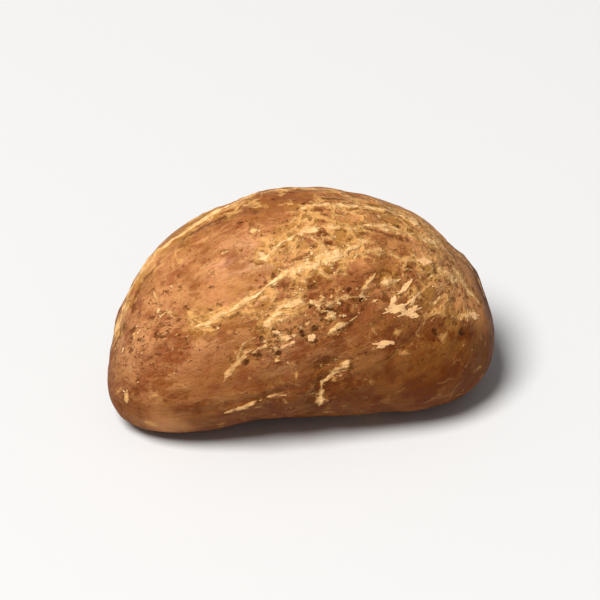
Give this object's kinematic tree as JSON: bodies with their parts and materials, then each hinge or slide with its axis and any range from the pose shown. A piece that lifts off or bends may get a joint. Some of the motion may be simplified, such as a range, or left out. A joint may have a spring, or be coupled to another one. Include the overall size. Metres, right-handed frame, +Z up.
{
  "type": "bitter kola nut",
  "caption": "Whole shelled seed shaped like a half moon, with a blunt tip at one end, a rounder other end, an arched back with a low seam, and a small flat under its belly.",
  "frame": {"origin": "middle of the nut's length and width, on the flat that it rests on", "axes": "+X along the nut, from the blunt tip to the round end; +Y across it, from the near flank to the far one; +Z up, from the belly to the back"},
  "size_m": [0.038, 0.0206, 0.0226],
  "materials": {
    "seed_skin": "satin brown skin with paler veins"
  },
  "bodies": {
    "root": {"nut": "seed_skin"}
  },
  "joints": []
}
